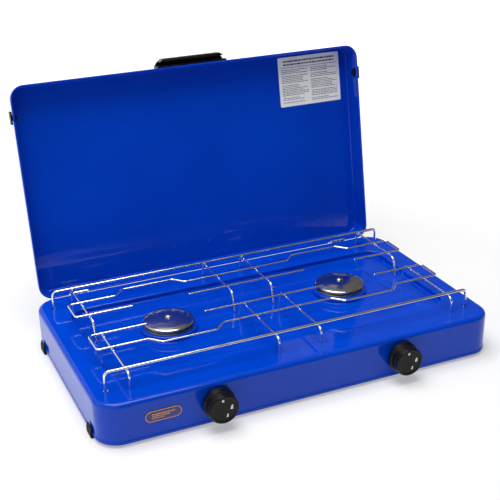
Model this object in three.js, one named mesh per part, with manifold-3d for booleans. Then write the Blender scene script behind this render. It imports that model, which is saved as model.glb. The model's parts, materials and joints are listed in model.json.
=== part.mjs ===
// Two-burner camping stove with a hinged lid. Millimetres, +Z up, knobs towards -Y, hinges towards +Y.
// Model frame before the final shift: X = 0 and Y = 0 in the middle of the case, Z = 0 on the table.
// The lid is built closed and its group is then turned open about the hinge axis.
import * as THREE from 'three';
import { mergeVertices } from 'three/addons/utils/BufferGeometryUtils.js';
import Module from 'manifold-3d';

const wasm = await Module();
wasm.setup();

// ---------------------------------------------------------------- driving dimensions
const GAP = 0.3; // clearance between neighbouring solids
const SHEET = 1; // pressed steel thickness

// case
const CASE_W = 565; // over the hem
const CASE_D = 320;
const CASE_TOP = 60; // top plate above the table
const CASE_R = 32; // plan corner radius
const HEM_OUT = 0.8; // hem stands proud of the wall by this much
const HEM_H = 4.5;
const FOLD_R = 6; // fold between wall and top plate
const FOOT_H = 4; // hem above the table

// drip recess in the top plate
const RECESS_W = 496;
const RECESS_D = 208;
const RECESS_Y = 4;
const RECESS_DEPTH = 8;
const RECESS_R = 24;

// burners
const BURNER_X = 131.7;
const BURNER_Y = 9;
const BOSS_R = 39; // raised ring pressed into the recess floor
const BOSS_HOLE_R = 31.5;
const CAP_R = 35;
const RING_R = 30.5;
const RING_H = 4.6;
const CAP_RISE = 5.4;
const CUP_R = 30;
const CUP_BOTTOM = 22;
const PORTS = 18;
const BURNER_SIDES = 30; // facets round each burner

// controls: knob, spindle and tap lie on one axis along Y with the mixing tube
const KNOB_Z = 33.4;
const KNOB_R = 19.6;
const KNOB_SKIRT_R = 21.3;
const KNOB_L = 20;
const KNOB_PUSH = 3;
const SPINDLE_R = 3;
const TAP_R = 9;
const PIPE_R = 4;
const TUBE_R = 8;

// gas inlet
const INLET_X = 215;
const NOZZLE_L = 28;

// pan supports
const RAIL_R = 2; // outer rails
const WIRE_R = 1.6; // all other wires
const RACK_TOP = 86;
const RAIL_REAR_Y = 126;
const RAIL_FRONT_Y = -118;
const RAIL_HALF = 260;
const LONG_Y = 69; // from the burner line
const JOG = 15;
const JOG_NEAR = 37.5; // jog corners from the burner centre, along X
const JOG_FAR = 51.5;
const FINGER_Y = 29;
const LOOP_X = RAIL_HALF - 9;
const FINGER_TIP = 40; // from the burner centre, along X
const CROSS_END = RAIL_HALF - 28.5;
const CROSS_X = [-CROSS_END, -30.2, 30.2, CROSS_END];
const LEG_OUT = 8.5; // outer legs stand this far outside the rail
const LEG_IN = 16; // inner legs bend down this far from the burner line
const LEG_TOE = 8; // and reach the recess floor this far from it

// lid
const LID_W = 540;
const LID_L = 305;
const LID_H = 30;
const LID_R = 20;
const LID_GAP = 1; // closed lid above the top plate
const LID_OVER = 5; // lid's rear edge behind the case
const LID_DRAFT = 3.5;
const LID_FOLD = 3;
const LID_OPEN = 100.2; // degrees

// hinge
const HINGE_X = 213;
const HINGE_L = 27;
const HINGE_BACK = 2.5; // pin behind the case
const HINGE_DROP = 1.5; // pin below the top plate
const PIN_R = 1.4;
const KNUCKLE_R = 2.6;
const LEAF_T = 1;

// ---------------------------------------------------------------- materials
const blue = new THREE.MeshStandardMaterial({ color: 0x0b3fb5, roughness: 0.18, metalness: 0.1 });
const chrome = new THREE.MeshStandardMaterial({ color: 0xd9dbe2, roughness: 0.12, metalness: 1 });
const steel = new THREE.MeshStandardMaterial({ color: 0xa9a9a6, roughness: 0.25, metalness: 1 });
const brass = new THREE.MeshStandardMaterial({ color: 0xb8924a, roughness: 0.35, metalness: 1 });
const black = new THREE.MeshStandardMaterial({ color: 0x17171a, roughness: 0.45, metalness: 0 });
const rubber = new THREE.MeshStandardMaterial({ color: 0x101012, roughness: 0.8, metalness: 0 });
const paper = new THREE.MeshStandardMaterial({ color: 0xc9c8c2, roughness: 0.6, metalness: 0 });
const badge = new THREE.MeshStandardMaterial({ color: 0xc8793a, roughness: 0.35, metalness: 0.4 });

// ---------------------------------------------------------------- geometry helpers
function indexed(points, faces) {
  const g = new THREE.BufferGeometry();
  g.setAttribute('position', new THREE.Float32BufferAttribute(points.flat(), 3));
  g.setIndex(faces.flat());
  return g;
}

function outward(g) {
  // turn every face over if the closed mesh encloses a negative volume
  const p = g.attributes.position;
  const index = g.index.array;
  let six = 0;
  const v = [new THREE.Vector3(), new THREE.Vector3(), new THREE.Vector3()];
  for (let i = 0; i < index.length; i += 3) {
    v.forEach((q, k) => q.fromBufferAttribute(p, index[i + k]));
    six += v[0].dot(v[1].cross(v[2]));
  }
  if (six < 0) {
    for (let i = 0; i < index.length; i += 3) {
      [index[i + 1], index[i + 2]] = [index[i + 2], index[i + 1]];
    }
  }
  return g;
}

function solid(geometry) {
  let g = geometry.clone();
  g.deleteAttribute('normal');
  g.deleteAttribute('uv');
  g = outward(mergeVertices(g, 1e-4));
  return new wasm.Manifold(
    new wasm.Mesh({
      numProp: 3,
      vertProperties: new Float32Array(g.attributes.position.array),
      triVerts: new Uint32Array(g.index.array),
    }),
  );
}

function geometryOf(manifold) {
  const m = manifold.getMesh();
  const g = new THREE.BufferGeometry();
  const p = [];
  for (let i = 0; i < m.numVert; i++) {
    for (let k = 0; k < 3; k++) p.push(m.vertProperties[i * m.numProp + k]);
  }
  g.setAttribute('position', new THREE.Float32BufferAttribute(p, 3));
  g.setIndex(Array.from(m.triVerts));
  return g;
}

function cut(geometry, ...cutters) {
  return geometryOf(cutters.reduce((s, c) => s.subtract(solid(c)), solid(geometry)));
}

function join(geometry, ...others) {
  return geometryOf(others.reduce((s, c) => s.add(solid(c)), solid(geometry)));
}

function box(x0, x1, y0, y1, z0, z1) {
  const g = new THREE.BoxGeometry(x1 - x0, y1 - y0, z1 - z0);
  return g.translate((x0 + x1) / 2, (y0 + y1) / 2, (z0 + z1) / 2);
}

function rodZ(r, x, y, z0, z1, sides = 24) {
  return new THREE.CylinderGeometry(r, r, z1 - z0, sides).rotateX(Math.PI / 2).translate(x, y, (z0 + z1) / 2);
}

function rodY(r, x, z, y0, y1, sides = 24) {
  return new THREE.CylinderGeometry(r, r, y1 - y0, sides).translate(x, (y0 + y1) / 2, z);
}

function rodX(r, y, z, x0, x1, sides = 24) {
  return new THREE.CylinderGeometry(r, r, x1 - x0, sides).rotateZ(Math.PI / 2).translate((x0 + x1) / 2, y, z);
}

function turned(profile, sides = 32) {
  // solid of revolution; profile is [radius, height] and closes on itself or starts and ends on the axis
  const open = profile[0][0] === 0 && profile[profile.length - 1][0] === 0;
  const points = open ? profile : [...profile, profile[0]];
  return new THREE.LatheGeometry(points.map((q) => new THREE.Vector2(q[0], q[1])), sides);
}

const turnedZ = (profile, sides) => turned(profile, sides).rotateX(Math.PI / 2);

function offsetLine(line, t) {
  // the line moved sideways by t, to the left of its direction, with mitred corners
  return line.map((q, i) => {
    const a = line[Math.max(i - 1, 0)];
    const b = line[Math.min(i + 1, line.length - 1)];
    const inDir = new THREE.Vector2(q[0] - a[0], q[1] - a[1]).normalize();
    const outDir = new THREE.Vector2(b[0] - q[0], b[1] - q[1]).normalize();
    if (i === 0) inDir.copy(outDir);
    if (i === line.length - 1) outDir.copy(inDir);
    const n = new THREE.Vector2(-inDir.y - outDir.y, inDir.x + outDir.x);
    const scale = (2 * t) / n.lengthSq();
    return [q[0] + n.x * scale, q[1] + n.y * scale];
  });
}

function arc(cx, cy, r, from, to, steps) {
  const out = [];
  for (let i = 0; i <= steps; i++) {
    const a = THREE.MathUtils.degToRad(from + ((to - from) * i) / steps);
    out.push([cx + r * Math.cos(a), cy + r * Math.sin(a)]);
  }
  return out;
}

function roundRect(hx, hy, cy, r, z, steps) {
  const out = [];
  const corners = [[1, 1, 0], [-1, 1, 90], [-1, -1, 180], [1, -1, 270]];
  for (const [sx, sy, start] of corners) {
    for (const [x, y] of arc(sx * (hx - r), cy + sy * (hy - r), r, start, start + 90, steps)) out.push([x, y, z]);
  }
  return out;
}

function pressedTray(outline, line, steps = 5) {
  // a pressed sheet: each [inset, z] of the line gives a rounded rectangle, the last one is closed over
  const { hx, hy, cy, r } = outline;
  const ringsOf = (l) => l.map(([inset, z]) => roundRect(hx - inset, hy - inset, cy, Math.max(r - inset, 2), z, steps));
  const outer = ringsOf(line);
  const inner = ringsOf(offsetLine(line, -SHEET));
  const n = outer[0].length;
  const points = [...outer, ...inner].flat();
  const faces = [];
  const strip = (a, b) => {
    for (let i = 0; i < n; i++) {
      const j = (i + 1) % n;
      faces.push([a + i, a + j, b + j], [a + i, b + j, b + i]);
    }
  };
  const top = outer.length - 1;
  for (let k = 0; k < top; k++) strip(k * n, (k + 1) * n);
  for (let k = 0; k < top; k++) strip((top + 2 + k) * n, (top + 1 + k) * n);
  strip((top + 1) * n, 0);
  for (let i = 1; i < n - 1; i++) {
    faces.push([top * n, top * n + i, top * n + i + 1]);
    const b = (2 * top + 1) * n;
    faces.push([b, b + i + 1, b + i]);
  }
  return indexed(points, faces);
}

function bent(points, radius, steps = 4) {
  // a polyline with each corner replaced by an arc of the bend radius
  const out = [points[0]];
  for (let i = 1; i < points.length - 1; i++) {
    const q = points[i];
    const a = points[i - 1].clone().sub(q);
    const b = points[i + 1].clone().sub(q);
    const half = a.angleTo(b) / 2;
    const cutBack = Math.min(radius / Math.tan(half), a.length() * 0.49, b.length() * 0.49);
    const r = cutBack * Math.tan(half);
    a.normalize();
    b.normalize();
    const centre = q.clone().add(a.clone().add(b).normalize().multiplyScalar(r / Math.sin(half)));
    const from = q.clone().addScaledVector(a, cutBack).sub(centre);
    const to = q.clone().addScaledVector(b, cutBack).sub(centre);
    const sweep = from.angleTo(to);
    for (let k = 0; k <= steps; k++) {
      const t = k / steps;
      const p = from.clone().multiplyScalar(Math.sin((1 - t) * sweep));
      p.addScaledVector(to, Math.sin(t * sweep)).divideScalar(Math.sin(sweep));
      out.push(p.add(centre));
    }
  }
  out.push(points[points.length - 1]);
  return out;
}

function wire(points, r, radius, steps = 4, sides = 8) {
  // round wire through the points, with a flat facet uppermost on level runs
  const path = bent(points.map((q) => new THREE.Vector3(...q)), radius, steps);
  const rings = [];
  let up = new THREE.Vector3(0, 0, 1);
  path.forEach((q, i) => {
    const a = path[Math.max(i - 1, 0)];
    const b = path[Math.min(i + 1, path.length - 1)];
    const dirIn = q.clone().sub(a).normalize();
    const dirOut = b.clone().sub(q).normalize();
    if (i === 0) dirIn.copy(dirOut);
    if (i === path.length - 1) dirOut.copy(dirIn);
    const along = dirIn.clone().add(dirOut).normalize();
    if (i === 0 && Math.abs(along.z) > 0.9) up.set(0, 1, 0);
    up = up.addScaledVector(along, -up.dot(along)).normalize();
    const side = along.clone().cross(up);
    const ring = [];
    for (let k = 0; k < sides; k++) {
      const t = ((k + 0.5) * 2 * Math.PI) / sides;
      const s = q.clone().addScaledVector(side, r * Math.cos(t)).addScaledVector(up, r * Math.sin(t));
      ring.push(s.toArray());
    }
    rings.push(ring);
  });
  const faces = [];
  for (let k = 0; k + 1 < rings.length; k++) {
    for (let i = 0; i < sides; i++) {
      const j = (i + 1) % sides;
      faces.push([k * sides + i, k * sides + j, (k + 1) * sides + j]);
      faces.push([k * sides + i, (k + 1) * sides + j, (k + 1) * sides + i]);
    }
  }
  const last = (rings.length - 1) * sides;
  for (let i = 1; i < sides - 1; i++) {
    faces.push([0, i + 1, i], [last, last + i, last + i + 1]);
  }
  return outward(indexed(rings.flat(), faces));
}

function plate(shapePoints, thickness) {
  const shape = new THREE.Shape(shapePoints.map((q) => new THREE.Vector2(q[0], q[1])));
  return new THREE.ExtrudeGeometry(shape, { depth: thickness, bevelEnabled: false });
}

const alongX = (g) => g.applyMatrix4(new THREE.Matrix4().set(0, 0, 1, 0, 1, 0, 0, 0, 0, 1, 0, 0, 0, 0, 0, 1));
const alongY = (g) => g.applyMatrix4(new THREE.Matrix4().set(1, 0, 0, 0, 0, 0, -1, 0, 0, 1, 0, 0, 0, 0, 0, 1));

const stove = new THREE.Group();

function add(parent, name, geometry, material) {
  const g = geometry.clone();
  g.deleteAttribute('uv');
  g.computeVertexNormals();
  const mesh = new THREE.Mesh(g, material);
  mesh.name = name;
  parent.add(mesh);
  return mesh;
}

const sides = [['left', -1], ['right', 1]];

// ---------------------------------------------------------------- case
const wallX = CASE_W / 2 - HEM_OUT;
const wallY = CASE_D / 2 - HEM_OUT;
const floorZ = CASE_TOP - RECESS_DEPTH;
const lipR = 3; // fold radii at the recess edge
const caseOutline = { hx: CASE_W / 2, hy: CASE_D / 2, cy: 0, r: CASE_R };

const caseWall = [
  [0.5, FOOT_H],
  [0, FOOT_H + 0.8],
  [0, FOOT_H + HEM_H - 1],
  [HEM_OUT, FOOT_H + HEM_H],
  ...arc(HEM_OUT + FOLD_R, CASE_TOP - FOLD_R, FOLD_R, 180, 90, 3),
  [HEM_OUT + FOLD_R + 12, CASE_TOP],
];
// the wall and the outer strip of the top plate, closed over flat; the recess is a tray sunk into it
const shellTop = pressedTray(caseOutline, caseWall);
const recessHalfX = RECESS_W / 2;
const recessHalfY = RECESS_D / 2;
const recessOutline = { hx: recessHalfX, hy: recessHalfY, cy: RECESS_Y, r: RECESS_R };
const recessLine = [
  [-8, CASE_TOP],
  ...arc(0, CASE_TOP - lipR, lipR, 90, 0, 2),
  ...arc(lipR * 2, floorZ + lipR, lipR, 180, 270, 2),
  [lipR * 2 + 6, floorZ],
];
const opening = new THREE.ExtrudeGeometry(
  new THREE.Shape(
    roundRect(recessHalfX + 4, recessHalfY + 4, RECESS_Y, RECESS_R + 4, 0, 5).map((q) => new THREE.Vector2(q[0], q[1])),
  ),
  { depth: 4 * SHEET, bevelEnabled: false },
).translate(0, 0, CASE_TOP - 3 * SHEET);
let shell = cut(shellTop, opening);
shell = join(shell, pressedTray(recessOutline, recessLine));

// each burner stands on a raised ring pressed up from the recess floor
const bossLine = [
  [BOSS_R + 4, floorZ],
  ...arc(BOSS_R + 1.5, floorZ + 1.5, 1.5, 270, 180, 2),
  ...arc(BOSS_R - 2.5, CASE_TOP - 2.5, 2.5, 0, 90, 2),
  [BOSS_HOLE_R, CASE_TOP],
];
const bossProfile = [...bossLine, ...offsetLine(bossLine, SHEET).reverse()];
const boss = turnedZ(bossProfile, BURNER_SIDES);
const bossHole = rodZ(BOSS_R + 2, 0, 0, floorZ - 3 * SHEET, floorZ + SHEET, BURNER_SIDES);
for (const [, s] of sides) {
  shell = cut(shell, bossHole.clone().translate(s * BURNER_X, BURNER_Y, 0));
  shell = join(shell, boss.clone().translate(s * BURNER_X, BURNER_Y, 0));
}

// holes: rail ends, spindles and gas inlet
const railHoleR = RAIL_R + 1.4;
const spindleHoleR = SPINDLE_R + 3;
const inletHoleR = 6.5;
for (const [, s] of sides) {
  for (const y of [RAIL_REAR_Y, RAIL_FRONT_Y]) {
    shell = cut(shell, rodZ(railHoleR, s * RAIL_HALF, y, CASE_TOP - 5, CASE_TOP + 5, 12));
  }
  shell = cut(shell, rodY(spindleHoleR, s * BURNER_X, KNOB_Z, -CASE_D / 2 - 5, -CASE_D / 2 + 8, 16));
}
const PIPE_Z = KNOB_Z - TAP_R - PIPE_R - 1.5;
shell = cut(shell, rodY(inletHoleR, INLET_X, PIPE_Z, CASE_D / 2 - 8, CASE_D / 2 + 5, 16));
add(stove, 'body_shell', shell, blue);

// feet: rubber channels pushed over the hem at both ends of the case
const footOut = CASE_W / 2 + 3;
const footIn = CASE_W / 2 - 11;
const slotIn = wallX - SHEET - HEM_OUT - 0.6;
const slotOut = CASE_W / 2 + GAP;
const footProfile = [
  [footIn, 0],
  [footOut - 1.5, 0],
  [footOut, 1.5],
  [footOut, 10],
  [footOut - 1.6, 15],
  [slotOut, 15.5],
  [slotOut, FOOT_H - GAP],
  [slotIn, FOOT_H - GAP],
  [slotIn, 12],
  [footIn, 12],
];
const FOOT_L = 18;
for (const [place, y] of [['front', -115], ['rear', 115]]) {
  for (const [side, s] of sides) {
    const g = alongY(plate(footProfile, FOOT_L)).translate(0, y + FOOT_L / 2, 0);
    if (s < 0) g.rotateZ(Math.PI).translate(0, 2 * y, 0);
    add(stove, `foot_${place}_${side}`, g, rubber);
  }
}

// plain plate on the front
const BADGE = { x: -202, z: 34, w: 47, h: 15, t: 0.7 };
const badgeShape = roundRect(BADGE.w / 2, BADGE.h / 2, 0, BADGE.h / 2 - 0.2, 0, 6);
const badgePlate = alongY(plate(badgeShape, BADGE.t)).translate(BADGE.x, -wallY - GAP, BADGE.z);
add(stove, 'badge_plate', badgePlate, badge);

// ---------------------------------------------------------------- burners
const ringBase = CASE_TOP + GAP + 1 + GAP; // top of the cup's flange
const capBase = ringBase + RING_H + GAP;
for (const [side, s] of sides) {
  const at = (g) => g.translate(s * BURNER_X, BURNER_Y, 0);
  const cupIn = CUP_R - 1.5;
  const flangeZ = CASE_TOP + GAP;
  let cup = turnedZ([
    [3.2, CUP_BOTTOM],
    [CUP_R - 3, CUP_BOTTOM],
    [CUP_R, CUP_BOTTOM + 3],
    [CUP_R, flangeZ],
    [CUP_R + 4.2, flangeZ],
    [CUP_R + 4.2, flangeZ + 1],
    [cupIn, flangeZ + 1],
    [cupIn, CUP_BOTTOM + 3.6],
    [CUP_R - 3.6, CUP_BOTTOM + 1.5],
    [3.2, CUP_BOTTOM + 1.5],
  ], BURNER_SIDES);
  cup = cut(cup, rodY(TUBE_R - 1.5, 0, KNOB_Z, -CUP_R - 5, -CUP_R + 10, 20));
  add(stove, `burner_cup_${side}`, at(cup), steel);

  let ring = turnedZ([[RING_R - 3, ringBase], [RING_R, ringBase], [RING_R, capBase - GAP], [RING_R - 3, capBase - GAP]], BURNER_SIDES);
  const slot = box(RING_R - 6, RING_R + 3, -0.9, 0.9, capBase - GAP - 2.6, capBase + 1);
  const slots = [];
  for (let i = 0; i < PORTS; i++) slots.push(slot.clone().rotateZ((i * 2 * Math.PI) / PORTS));
  ring = cut(ring, ...slots);
  add(stove, `burner_ring_${side}`, at(ring), steel);

  const capLine = [
    [CAP_R, capBase - 0.6],
    [CAP_R - 0.2, capBase + 0.9],
    [CAP_R - 1.6, capBase + 1.9],
    [CAP_R * 0.8, capBase + CAP_RISE * 0.58],
    [CAP_R * 0.5, capBase + CAP_RISE * 0.86],
    [3.1, capBase + CAP_RISE],
  ];
  const capUnder = [
    [3.1, capBase + CAP_RISE - 1.1],
    [CAP_R * 0.5, capBase + CAP_RISE * 0.86 - 1.2],
    [CAP_R * 0.8, capBase + CAP_RISE * 0.58 - 1.3],
    [CAP_R - 2.4, capBase + 0.5],
    [CAP_R - 1.4, capBase - 0.6],
  ];
  add(stove, `burner_cap_${side}`, at(turnedZ([...capLine, ...capUnder], BURNER_SIDES)), steel);

  const headZ = capBase + CAP_RISE + GAP;
  const rivet = turnedZ(
    [
      [0, CUP_BOTTOM - 1.5],
      [4.6, CUP_BOTTOM - 1.5],
      [4.6, CUP_BOTTOM - GAP],
      [2.7, CUP_BOTTOM - GAP],
      [2.7, headZ],
      [5, headZ],
      [4.2, headZ + 1.3],
      [2.4, headZ + 2],
      [0, headZ + 2.2],
    ],
    16,
  );
  add(stove, `burner_rivet_${side}`, at(rivet), steel);
}

// ---------------------------------------------------------------- taps and gas line
const wallInner = -wallY + SHEET; // inner face of the front wall
const tapFront = wallInner + 3.5;
const tapBack = tapFront + 26;
const counterR = SPINDLE_R + 3.8;
const counterDepth = KNOB_PUSH + 3;
const boreDepth = 22;
const collarFront = tapFront + 0.6;
const shoulderBack = collarFront - GAP;
const shoulderFront = wallInner - 1.2;
const knobBack = -CASE_D / 2 - KNOB_PUSH - 0.6;
for (const [side, s] of sides) {
  const at = (g) => g.translate(s * BURNER_X, 0, KNOB_Z);
  let tap = turned([
    [counterR, tapFront],
    [TAP_R, tapFront],
    [TAP_R, tapBack - 6],
    [TAP_R - 2, tapBack],
    [0, tapBack],
    [0, tapFront + boreDepth],
    [SPINDLE_R + GAP, tapFront + boreDepth],
    [SPINDLE_R + GAP, tapFront + counterDepth],
    [counterR, tapFront + counterDepth],
  ].reverse(), 24);
  const portTop = -TAP_R + 1.5;
  const portFoot = PIPE_Z + PIPE_R - KNOB_Z + GAP;
  tap = join(tap, box(-4, 4, tapFront + 10, tapFront + 18, portFoot, portTop));
  const keyway = (w) => box(-1 - w, 1 + w, tapFront - 1, tapFront + counterDepth - 0.01, 0, counterR + 1.4 + w);
  tap = cut(tap, keyway(GAP));
  add(stove, `tap_body_${side}`, at(tap), brass);

  // keyed collar: pushed in by the spindle's shoulder, does not turn
  let collar = turned([
    [SPINDLE_R + GAP, collarFront],
    [counterR - GAP, collarFront],
    [counterR - GAP, collarFront + 2],
    [SPINDLE_R + GAP, collarFront + 2],
  ], 24);
  collar = join(collar, box(-1, 1, collarFront, collarFront + 2, SPINDLE_R + 1, counterR + 1.1));
  add(stove, `tap_collar_${side}`, at(collar), steel);

  const spindle = turned([
    [0, knobBack - KNOB_L * 0.6],
    [SPINDLE_R, knobBack - KNOB_L * 0.6],
    [SPINDLE_R, shoulderFront],
    [SPINDLE_R + 2, shoulderFront],
    [SPINDLE_R + 2, shoulderBack],
    [SPINDLE_R, shoulderBack],
    [SPINDLE_R, tapFront + boreDepth - KNOB_PUSH - 1.5],
    [0, tapFront + boreDepth - KNOB_PUSH - 1.5],
  ], 20);
  add(stove, `spindle_${side}`, at(spindle), brass);

  // knob: turned body with a groove round the face and a blind bore for the spindle
  const face = knobBack - KNOB_L;
  const bore = SPINDLE_R + GAP;
  const boreEnd = knobBack - KNOB_L * 0.6 - GAP;
  const knob = turned([
    [0, face + 0.8],
    [KNOB_R - 4.6, face + 0.8],
    [KNOB_R - 3.8, face],
    [KNOB_R - 1.2, face],
    [KNOB_R, face + 1.4],
    [KNOB_R, knobBack - 6.5],
    [KNOB_SKIRT_R, knobBack - 4.5],
    [KNOB_SKIRT_R, knobBack],
    [KNOB_SKIRT_R - 3, knobBack],
    [KNOB_SKIRT_R - 3.5, knobBack - 3],
    [bore + 3.5, knobBack - 3],
    [bore + 3, knobBack],
    [bore, knobBack],
    [bore, boreEnd],
    [0, boreEnd],
  ], 28);
  add(stove, `knob_${side}`, at(knob), black);

  // jet and mixing tube, both on the tap's axis
  const jet = turned([
    [0, tapBack + GAP],
    [3.6, tapBack + GAP],
    [3.6, tapBack + GAP + 4],
    [1.6, tapBack + GAP + 7],
    [0, tapBack + GAP + 7],
  ], 6);
  add(stove, `injector_${side}`, at(jet), brass);
  const tubeFront = tapBack + GAP + 2;
  const tubeBack = BURNER_Y - CUP_R - GAP;
  let tube = turned([
    [TUBE_R - 1.2, tubeFront],
    [TUBE_R, tubeFront],
    [TUBE_R, tubeBack],
    [TUBE_R - 1.2, tubeBack],
  ], 24);
  tube = cut(tube, box(-3, 3, tubeFront + 5, tubeFront + 17, 0, TUBE_R + 2));
  add(stove, `mixing_tube_${side}`, at(tube), steel);
}

const pipeY = tapFront + 14;
const nutFront = wallY - SHEET - 8;
const manifold = wire(
  [[-BURNER_X - 8, pipeY, PIPE_Z], [INLET_X, pipeY, PIPE_Z], [INLET_X, nutFront - GAP, PIPE_Z]],
  PIPE_R, 18, 6, 12,
);
add(stove, 'gas_manifold', manifold, brass);
const nut = turned([[2.5, nutFront], [8, nutFront], [8, wallY - SHEET - GAP], [2.5, wallY - SHEET - GAP]], 6);
add(stove, 'inlet_nut', nut.translate(INLET_X, 0, PIPE_Z), brass);
const hoseRear = wallY + NOZZLE_L;
const barbs = [];
for (let i = 0; i < 4; i++) {
  const y = wallY + 8 + i * 4.4;
  barbs.push([4.1, y], [5, y + 1], [4.1, y + 4]);
}
const nozzle = turned([
  [1.8, wallY + GAP],
  [7.6, wallY + GAP],
  [7.6, wallY + 6],
  [4.1, wallY + 6.5],
  ...barbs,
  [4.1, hoseRear],
  [1.8, hoseRear],
], 12);
add(stove, 'hose_nozzle', nozzle.translate(INLET_X, 0, PIPE_Z), brass);

// ---------------------------------------------------------------- pan supports
const railZ = RACK_TOP - RAIL_R;
const crossZ = railZ - RAIL_R - GAP - WIRE_R;
const wireZ = crossZ + 2 * WIRE_R + GAP;
const toeLean = (LEG_IN - LEG_TOE) / (crossZ - floorZ); // the leg leans, so its cut end is tilted
for (const [place, s, railY] of [['rear', 1, RAIL_REAR_Y], ['front', -1, RAIL_FRONT_Y]]) {
  const y = (d) => BURNER_Y + s * d;
  const endZ = CASE_TOP - 9;
  const rail = [
    [-RAIL_HALF, railY, endZ],
    [-RAIL_HALF, railY, railZ],
    [RAIL_HALF, railY, railZ],
    [RAIL_HALF, railY, endZ],
  ];
  add(stove, `${place}_rail`, wire(rail, RAIL_R, 6), chrome);

  const run = [];
  for (const [, b] of sides) {
    for (const [dx, d] of [[-JOG_FAR, 0], [-JOG_NEAR, JOG], [JOG_NEAR, JOG], [JOG_FAR, 0]]) {
      run.push([b * BURNER_X + dx, y(LONG_Y + d), wireZ]);
    }
  }
  const tip = BURNER_X + FINGER_TIP;
  const long = [
    [-tip, y(FINGER_Y), wireZ],
    [-LOOP_X, y(FINGER_Y), wireZ],
    [-LOOP_X, y(LONG_Y), wireZ],
    ...run,
    [LOOP_X, y(LONG_Y), wireZ],
    [LOOP_X, y(FINGER_Y), wireZ],
    [tip, y(FINGER_Y), wireZ],
  ];
  add(stove, `${place}_long_wire`, wire(long, WIRE_R, 5, 3), chrome);

  const centreTip = BURNER_X - FINGER_TIP - 2;
  const centre = [[-centreTip, y(FINGER_Y), wireZ], [centreTip, y(FINGER_Y), wireZ]];
  add(stove, `${place}_centre_wire`, wire(centre, WIRE_R, 1), chrome);

  CROSS_X.forEach((x, i) => {
    const cross = [
      [x, railY + s * LEG_OUT, CASE_TOP + GAP],
      [x, railY + s * LEG_OUT, crossZ],
      [x, y(LEG_IN), crossZ],
      [x, y(LEG_TOE), floorZ + GAP + WIRE_R * toeLean],
    ];
    add(stove, `${place}_cross_${i + 1}`, wire(cross, WIRE_R, 7), chrome);
  });
}

// ---------------------------------------------------------------- hinges
const axisY = CASE_D / 2 + HINGE_BACK;
const axisZ = CASE_TOP - HINGE_DROP;
const lid = new THREE.Group();
lid.position.set(0, axisY, axisZ);
lid.rotation.x = -THREE.MathUtils.degToRad(LID_OPEN);
stove.add(lid);
const lidRim = CASE_TOP + LID_GAP;
const lidBack = CASE_D / 2 + LID_OVER;
const lidY = lidBack - LID_L / 2;
const inLid = (g) => g.translate(0, -axisY, -axisZ);
const wallSlope = LID_DRAFT / (LID_H - LID_FOLD);

for (const [side, s] of sides) {
  const x0 = s * HINGE_X - HINGE_L / 2 + 2;
  const x1 = x0 + HINGE_L - 4;
  const third = (x1 - x0) / 3;
  const pin = rodX(PIN_R, axisY, axisZ, x0 - 2, x1 + 2, 16);
  add(stove, `hinge_pin_${side}`, pin, chrome);

  const bore = rodX(PIN_R + GAP, axisY, axisZ, x0 - 5, x1 + 5, 16);
  const bodyLeafY = wallY + GAP;
  const bodyLeaf = join(
    rodX(KNUCKLE_R, axisY, axisZ, x0 + third + GAP, x1 - third - GAP, 20),
    box(x0 + third + GAP, x1 - third - GAP, bodyLeafY, bodyLeafY + LEAF_T, axisZ - 20, axisZ - 0.5),
  );
  add(stove, `hinge_leaf_body_${side}`, cut(bodyLeaf, bore), steel);

  const leafY = lidBack + GAP;
  const knuckles = [[x0, x0 + third - GAP], [x1 - third + GAP, x1]];
  let lidLeaf = box(x0, x1, leafY, leafY + LEAF_T, lidRim + 3.5, lidRim + 18);
  for (const [a, b] of knuckles) {
    const neck = box(a, b, axisY + KNUCKLE_R - 0.6, leafY + LEAF_T, axisZ - LEAF_T, axisZ + LEAF_T);
    const ear = box(a, b, leafY, leafY + LEAF_T, axisZ - LEAF_T, lidRim + 4);
    lidLeaf = join(lidLeaf, rodX(KNUCKLE_R, axisY, axisZ, a, b, 20), neck, ear);
  }
  add(lid, `hinge_leaf_lid_${side}`, inLid(cut(lidLeaf, bore)), steel);
}

// ---------------------------------------------------------------- lid
const lidLine = [
  [0.3, lidRim],
  [0, lidRim + 0.8],
  ...arc(LID_DRAFT + LID_FOLD, lidRim + LID_H - LID_FOLD, LID_FOLD, 180, 90, 3),
  [LID_DRAFT + LID_FOLD + 20, lidRim + LID_H],
];
let lidShell = pressedTray({ hx: LID_W / 2, hy: LID_L / 2, cy: lidY, r: LID_R }, lidLine);
const NOTCH_H = 5;
const clipY = lidBack - 262;
const CLIP = { l: 18, h: 10, t: 2.6, stem: 8, z: 6.5 };
for (const [, s] of sides) {
  const half = HINGE_L / 2 + 1.5;
  const x = s * HINGE_X;
  lidShell = cut(
    lidShell,
    box(x - half, x + half, lidBack - 4, lidBack + 4, lidRim - 2, lidRim + NOTCH_H),
    box(s * LID_W / 2 - 8, s * LID_W / 2 + 8, clipY - CLIP.stem / 2 - GAP, clipY + CLIP.stem / 2 + GAP, lidRim + CLIP.z - 2 - GAP, lidRim + CLIP.z + 2 + GAP),
  );
}
add(lid, 'lid_shell', inLid(lidShell), blue);

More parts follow.
